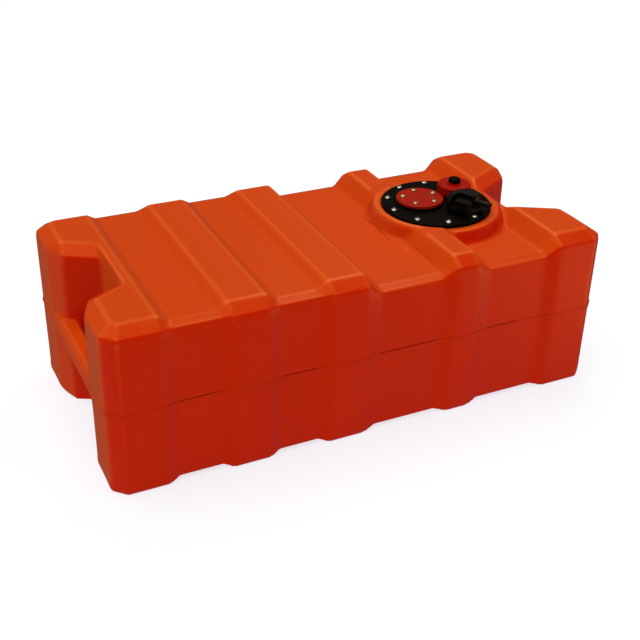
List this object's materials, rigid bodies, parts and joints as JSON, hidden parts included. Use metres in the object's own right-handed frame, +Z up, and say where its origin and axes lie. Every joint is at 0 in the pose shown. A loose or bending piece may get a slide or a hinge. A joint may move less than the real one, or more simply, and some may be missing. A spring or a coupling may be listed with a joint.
{
  "type": "marine fuel tank",
  "caption": "Portable moulded fuel tank for a boat: waisted body with a carrying handle, and a bolted flange with filler cap, vent, covered gauge place and swivel pick-up.",
  "frame": {"origin": "middle of the underside's bounding box, on the surface the tank stands on", "axes": "+X along the tank towards the fittings, +Z up"},
  "size_m": [0.8, 0.39, 0.2925],
  "materials": {
    "tank_plastic": "satin moulded polyethylene",
    "plate_plastic": "black moulded plastic",
    "cover_plastic": "red moulded plastic",
    "cap_plastic": "red moulded plastic",
    "vent_plastic": "black moulded plastic",
    "head_plastic": "black moulded plastic",
    "latch_plastic": "black moulded plastic",
    "tube_plastic": "natural plastic",
    "seal_rubber": "fuel-proof rubber",
    "screw_steel": "bright steel",
    "insert_brass": "machined",
    "tail_plastic": "black moulded plastic",
    "fitting_metal": "machined"
  },
  "bodies": {
    "root": {"tank_body": "tank_plastic", "flange_inserts": "insert_brass", "flange_gasket": "seal_rubber", "flange_plate": "plate_plastic", "rim_screws": "screw_steel", "gauge_gasket": "seal_rubber", "gauge_cover": "cover_plastic", "cover_screws": "screw_steel", "pickup_spigot": "fitting_metal", "neck_ring": "seal_rubber", "spigot_seal": "seal_rubber", "spigot_nut": "fitting_metal", "dip_tube": "tube_plastic", "foot_strainer": "tube_plastic"},
    "cap_carrier": {"cap_seal": "seal_rubber"},
    "cap": {"filler_cap": "cap_plastic"},
    "vent": {"vent_knob": "vent_plastic", "vent_seal": "seal_rubber"},
    "pickup": {"swivel_head": "head_plastic", "hose_tail": "tail_plastic", "tail_seal": "seal_rubber"},
    "latch": {"coupling_latch": "latch_plastic"}
  },
  "joints": [
    {"name": "cap_lift", "type": "slide", "parent": "root", "child": "cap_carrier", "axis": [0, 0, 1], "range_m": [0, 0.06]},
    {"name": "cap_turn", "type": "hinge", "parent": "cap_carrier", "child": "cap", "pos_m": [0.24596, 0.01434, 0.279], "axis": [0, 0, 1], "range_deg": [0, 450]},
    {"name": "vent_turn", "type": "hinge", "parent": "cap", "child": "vent", "pos_m": [0.24596, 0.01434, 0.2865], "axis": [0, 0, 1], "range_deg": [0, 360]},
    {"name": "head_swivel", "type": "hinge", "parent": "root", "child": "pickup", "pos_m": [0.23349, -0.04145, 0.269], "axis": [0, 0, 1], "range_deg": [-130, 90]},
    {"name": "latch_press", "type": "slide", "parent": "pickup", "child": "latch", "axis": [0.9063, 0.4226, 0], "range_m": [0, 0.003], "stiffness_N_per_m": 600}
  ]
}
